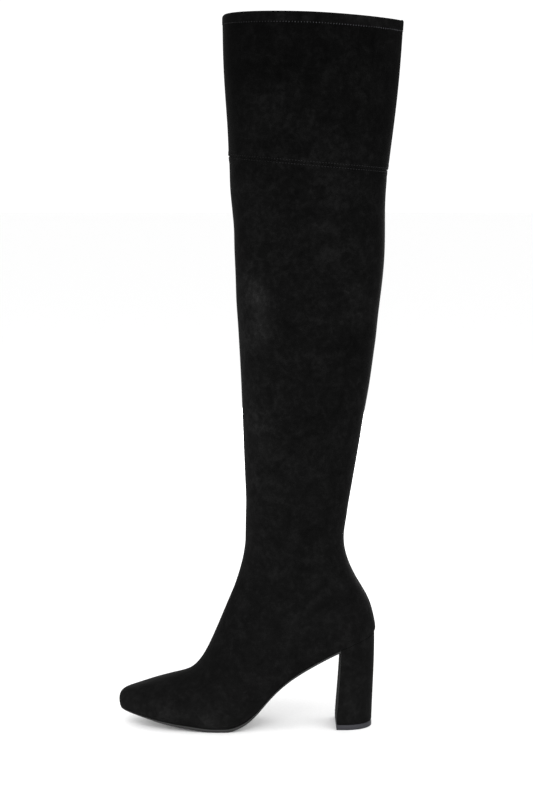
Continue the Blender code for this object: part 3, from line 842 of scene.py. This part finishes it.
upperPlaces, upperFacing = readMesh(upper)
lowRow = upperShown[len(below) + rowAt(seamRows, kneeSeam["stitchAt"]), :-1]
addStitches("knee_stitches_low", upperPlaces[lowRow], upperFacing[lowRow], kneeStitch)
highRow = rowAt(kneeSeam["rows"], kneeSeam["stitchAt"])
addStitches("knee_stitches_high", outside[highRow, :-1], facing[highRow, :-1], kneeStitch)
hemRow = len(nearKnee) + len(between) + rowAt(hemRows, hem["stitchAt"])
addStitches("hem_stitches", outside[hemRow, :-1], facing[hemRow, :-1], hemStitch)


def rimRings(piece, along, low, high):
    # Closed rings across a sole-like piece, one at each place along: the edge profile, as (inset, share of
    # thickness) from the top down, on the outer side and back up on the inner side.
    rows = []
    for inset, share in piece["edge"]:
        inner, swing, half = insetOutline(along, inset + piece["inset"])
        rows.append((inner, swing, half, low(inner) + share * (high(inner) - low(inner))))
    outerSide = [np.stack((inner, swing - half, height), axis=1) for inner, swing, half, height in rows]
    innerSide = [np.stack((inner, swing + half, height), axis=1) for inner, swing, half, height in rows[::-1]]
    return np.stack(outerSide + innerSide, axis=1)


def ringIndex(rings, closeFirst=False, closeFinal=False):
    # point numbers of rings closed on themselves; a pinched end joins its outer and inner points
    rows, columns = rings.shape[:2]
    index = np.arange(rows * columns).reshape(rows, columns)
    for row, pinched in ((0, closeFirst), (-1, closeFinal)):
        if pinched:
            index[row, columns // 2:] = index[row, :columns // 2][::-1]
    return np.concatenate((index, index[:, :1]), axis=1)


# Outsole: thin, inked at the edge, from the toe to the heel breast
outsole = {
    "endsAt": 206.1, "stations": 120, "crowding": 1.8, "inset": 0.3, "sharp": 0.9,
    "edge": ((9.0, 1.0), (1.2, 1.0), (0.5, 0.97), (0.12, 0.86), (0.0, 0.66), (0.0, 0.4), (0.1, 0.2),
             (0.4, 0.06), (1.0, 0.0), (9.0, 0.0)),
}
share = np.linspace(0, 1, outsole["stations"]) ** outsole["crowding"]
soleAlong = last["toeTip"] + share * (outsole["endsAt"] - last["toeTip"])
soleRings = rimRings(outsole, soleAlong, lambda along: soleLines(along)[0], soleTop)
soleRings[..., 0] = np.minimum(soleRings[..., 0], outsole["endsAt"])
soleIndex = ringIndex(soleRings, closeFirst=True)
sole, _ = addMesh(
    "outsole_leather", soleRings, gridFaces(soleIndex)[:, ::-1], [soleIndex[-1, :-1]], outsole["sharp"])
handOver(sole, inkedSole, "sole", "outsole")
print("outsole:", len(sole.data.polygons), "faces")

# Insole: sock-covered board inside, soft at its edge
insole = {
    "inset": 2.8, "lift": 2.1, "thickness": 2.0, "stations": 90, "sharp": 1.0,
    "edge": ((9.0, 1.0), (2.0, 1.0), (0.8, 0.95), (0.2, 0.75), (0.0, 0.5), (0.0, 0.2), (0.6, 0.0),
             (9.0, 0.0)),
}
insoleShare = (1 - np.cos(np.linspace(0, math.pi, insole["stations"]))) / 2
insoleAlong = last["toeTip"] + insoleShare * (last["footLength"] - last["toeTip"])


def insoleLow(along):
    # the lift above the sole's top, measured square to its slope
    return soleTop(along) + last["gap"] + insole["lift"] * soleStretch(along)


def insoleHigh(along):
    # the board's thickness above its underside
    return insoleLow(along) + insole["thickness"] * soleStretch(along)


insoleRings = rimRings(insole, insoleAlong, insoleLow, insoleHigh)
insoleIndex = ringIndex(insoleRings, closeFirst=True, closeFinal=True)
board, _ = addMesh("insole_sock", insoleRings, gridFaces(insoleIndex)[:, ::-1], sharp=insole["sharp"])
handOver(board, knitLining, "sock", "insole")
print("insole:", len(board.data.polygons), "faces")

# Heel: block wrapped in the same suede, flat breast, round back; below it a rubber top piece
heel = {
    "breastAtSeat": 206.4, "breastAtFloor": 202.3, "backInset": 0.1, "backAtFloor": 235.6,
    "halfAtFloor": 23.6, "corner": 0.9, "cornerAtSeat": 0.1, "sway": 0.55, "topPiece": 4.8, "gap": 0.3,
    "sharp": 1.0,
    "levels": 40, "firstLevel": 0.03, "sidePoints": 44, "cornerPoints": 9, "breastPoints": 9,
    "foot": ((0.9, 0.0), (0.45, 0.12), (0.15, 0.4), (0.0, 1.0)),   # inset, rise
    "seat": ((0.0, 0.5), (0.05, 0.28), (0.15, 0.1), (0.35, 0.0)),  # inset, fall
}
topPiece = {  # edge: inset, height
    "edge": ((0.7, 0.0), (0.2, 0.12), (0.0, 0.5), (0.0, 2.4), (0.0, 4.1), (0.12, 4.5), (0.5, 4.8)),
    "sharp": 1.0,
}
swayPeak = 4 / 27  # the most that share squared times one minus share comes to


def heelOutline(inset):
    # Plan of the heel drawn in by the inset, from the breast's middle round the back: a straight breast, a
    # quarter circle at its corner, then the sole's half width rounded off to the back. Gives the floor's and
    # the seat's.
    back = last["footLength"] - heel["backInset"]
    share = np.sin(np.linspace(0, math.pi / 2, heel["sidePoints"]))[1:]
    turn = np.linspace(0, math.pi / 2, heel["cornerPoints"])
    flat = np.linspace(0, 1, heel["breastPoints"])[:-1]
    seatAlong = heel["breastAtSeat"] + share * (back - heel["breastAtSeat"])
    half = (soleLines(seatAlong)[2] - heel["backInset"]) * roundOff(
        back - seatAlong, last["heelRound"], last["heelPower"])
    plans = []
    for breast, rear, corner, halfWidth in (
            (heel["breastAtFloor"], heel["backAtFloor"], heel["corner"], heel["halfAtFloor"]),
            (heel["breastAtSeat"], back, heel["cornerAtSeat"], half[0])):
        widest = halfWidth - inset
        start = breast + inset
        side = start + corner + share * (rear - inset - start - corner)
        along = np.concatenate((np.full(len(flat), start), start + corner * (1 - np.cos(turn)), side))
        width = np.concatenate((
            flat * (widest - corner), widest - corner * (1 - np.sin(turn)), half * widest / half[0]))
        plans.append(np.stack((np.concatenate((along, along[-2:0:-1])),
                               np.concatenate((-width, width[-2:0:-1]))), axis=1))
    return plans


def loftHeel(levels):
    # levels: (inset, share from floor to seat, rise in mm); floor and seat outlines are blended by the share,
    # and the block sways back by share squared times one minus share, most at two thirds of its height
    rows = []
    base = heel["topPiece"] + heel["gap"]
    for inset, share, rise in levels:
        floorPlan, seatPlan = heelOutline(inset)
        plan = floorPlan + (seatPlan - floorPlan) * share
        plan[:, 0] += heel["sway"] * share**2 * (1 - share) / swayPeak
        height = base + (soleTop(seatPlan[:, 0]) - base) * share + rise
        rows.append(np.concatenate((plan, height[:, None]), axis=1))
    return np.stack(rows)


def addBlock(name, rings, sharp):
    # rings from the floor up, closed by a flat face below and above
    index = ringIndex(rings)
    return addMesh(name, rings, gridFaces(index)[:, ::-1], (index[0, -2::-1], index[-1, :-1]), sharp)[0]


levels = [(inset, 0.0, rise) for inset, rise in heel["foot"]]
shares = np.linspace(heel["firstLevel"], 1 - heel["firstLevel"], heel["levels"])
levels += [(0.0, share, 0.0) for share in shares]
levels += [(inset, 1.0, -fall) for inset, fall in heel["seat"]]
block = addBlock("heel_cover", loftHeel(levels), heel["sharp"])
# painted light and shade on the heel cover
setToneAndLight(block, paintedLightAndShade(readMesh(block)[0]))
handOver(block, blackSuede, "suede", "heel")
liftRings = np.stack([
    np.insert(heelOutline(inset)[0], 2, height, axis=1) for inset, height in topPiece["edge"]])
lift = addBlock("top_piece_rubber", liftRings, topPiece["sharp"])
handOver(lift, heelRubber, "rubber", "top_piece")
print("heel and top piece:", len(block.data.polygons), len(lift.data.polygons), "faces")

# Studio: white paper floor, even white surroundings, soft lamps and the camera of the photograph
studio = {
    "floorSize": 40.0, "floorDrop": 0.05, "surround": 1.09,
    "lamps": (  # name, place, aim, width, height, power in watts
        ("key", (-0.2, -2.3, 1.7), (0.0, 0.0, 0.1), 1.6, 1.2, 29.0),
        ("front", (0.3, -2.4, 0.75), (0.0, 0.0, 0.3), 1.6, 0.8, 15.5),
        ("toe side", (-1.1, -0.55, 0.30), (0.0, 0.0, 0.28), 0.5, 0.5, 7.8),
        ("heel side", (0.9, -1.0, 0.25), (0.0, 0.0, 0.1), 0.6, 0.5, 6.7),
        ("back", (0.6, 2.3, 0.45), (0.0, 0.0, 0.35), 1.6, 0.8, 36.0),
    ),
    "cameraAt": (0.0073, -1.850, 0.520), "cameraTilt": 83.35, "clipEnd": 50.0,
    "focal": 2030.0, "longSide": 800.0, "sensor": 36.0,  # focal length and long side in pixels, sensor in mm
}
tile = np.linspace(-0.5, 0.5, 3) * studio["floorSize"] / mm
gridX, gridY = np.meshgrid(tile, tile)
floorPoints = np.stack((gridX, gridY, np.full_like(gridX, -studio["floorDrop"])), axis=2) + frameOrigin
floorIndex = np.arange(gridX.size).reshape(gridX.shape)
floor, _ = addMesh("floor", floorPoints, gridFaces(floorIndex)[:, ::-1])

# White seamless paper: matt and even, with a faint grain of its pulp
paperLook = {"tones": ((0.3, "#f2f2f2"), (0.7, "#f6f6f6")), "stain": (3.0, 2.0, 0.5), "roughness": 0.9,
             "shine": 0.1}
floor.data.materials.append(makeGrained("white seamless paper", paperLook))

world = bpy.data.worlds.new("white studio")
world.use_nodes = True
surround = world.node_tree.nodes["Background"].inputs
surround["Color"].default_value = (1.0, 1.0, 1.0, 1.0)
surround["Strength"].default_value = studio["surround"]
bpy.context.scene.world = world

for name, place, aim, width, height, power in studio["lamps"]:
    light = bpy.data.lights.new(name, "AREA")
    light.shape = "RECTANGLE"
    light.size, light.size_y, light.energy = width, height, power
    lamp = bpy.data.objects.new(name, light)
    lamp.location = place
    way = np.array(aim) - np.array(place)
    flat = math.hypot(way[0], way[1])
    lamp.rotation_euler = (math.atan2(flat, -way[2]), 0.0, math.atan2(-way[0], way[1]))
    bpy.context.scene.collection.objects.link(lamp)

lens = bpy.data.cameras.new("camera")
lens.sensor_width = studio["sensor"]
lens.lens = studio["focal"] / studio["longSide"] * lens.sensor_width
lens.clip_end = studio["clipEnd"]
camera = bpy.data.objects.new("camera", lens)
camera.location = studio["cameraAt"]
camera.rotation_euler = (math.radians(studio["cameraTilt"]), 0.0, 0.0)
bpy.context.scene.collection.objects.link(camera)
bpy.context.scene.camera = camera
bpy.context.scene.view_settings.view_transform = "Standard"
print("studio set")
